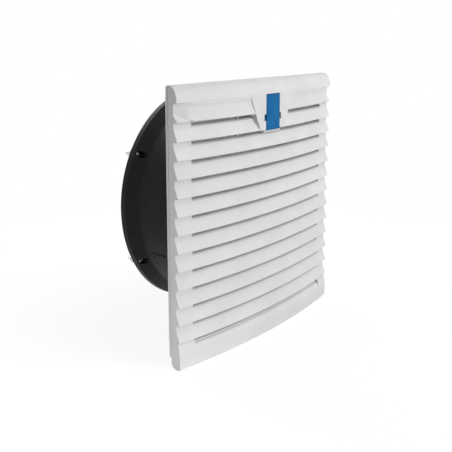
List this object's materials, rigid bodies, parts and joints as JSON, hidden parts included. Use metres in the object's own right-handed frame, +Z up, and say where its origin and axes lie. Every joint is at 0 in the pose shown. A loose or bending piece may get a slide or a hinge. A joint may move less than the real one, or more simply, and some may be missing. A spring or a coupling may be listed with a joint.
{
  "type": "cabinet filter fan",
  "caption": "Snap-in cabinet filter fan: bowed louvred cover on a bottom hinge with a release lever, filter mat in a square frame, and a round axial fan behind it.",
  "frame": {"origin": "on the fan axis in the mounting plane, the back of the flange that lies on the cabinet wall", "axes": "+Y along the fan axis into the cabinet, +Z up, the louvred front faces -Y"},
  "size_m": [0.323, 0.1382, 0.323],
  "materials": {
    "light_grey_plastic": "fine moulded texture",
    "foam": "soft foam strip",
    "filter_fibre": "coarse white fibre mat",
    "blue_plastic": "satin moulded",
    "hardware": "zinc plated",
    "black_casting": "die-cast, black satin paint",
    "lamination": "bare stack",
    "copper": "enamelled wire",
    "black_steel": "black satin paint",
    "black_plastic": "satin moulded",
    "bright_wire": "bright plated wire",
    "dark_plastic": "moulded"
  },
  "bodies": {
    "frame_body": {"mounting_frame": "light_grey_plastic", "gasket": "foam", "filter_mat": "filter_fibre", "hinge_pins": "hardware", "fan_housing": "black_casting", "stator_core": "lamination", "stator_windings": "copper", "bearings": "hardware", "finger_guard": "bright_wire", "guard_screws": "hardware", "guard_washers": "hardware", "guard_nuts": "hardware", "fan_screws": "hardware", "terminal_block": "dark_plastic", "terminal_screws": "hardware", "block_screws": "hardware"},
    "cover": {"front_cover": "light_grey_plastic", "latch_pin": "hardware"},
    "lever": {"latch_lever": "blue_plastic"},
    "rotor": {"rotor_can": "black_steel", "rotor_core": "lamination", "shaft": "hardware", "impeller": "black_plastic"}
  },
  "joints": [
    {"name": "cover_hinge", "type": "hinge", "parent": "frame_body", "child": "cover", "pos_m": [0, -0.0109, -0.1595], "axis": [1, 0, 0], "range_deg": [0, 90]},
    {"name": "latch_pivot", "type": "hinge", "parent": "cover", "child": "lever", "pos_m": [0, -0.024, 0.112], "axis": [-1, 0, 0], "range_deg": [0, 15], "stiffness_Nm_per_rad": 0.3, "springref_deg": -5.73},
    {"name": "fan_spin", "type": "hinge", "parent": "frame_body", "child": "rotor", "pos_m": [0, 0.049, 0], "axis": [0, 1, 0], "continuous": true}
  ]
}
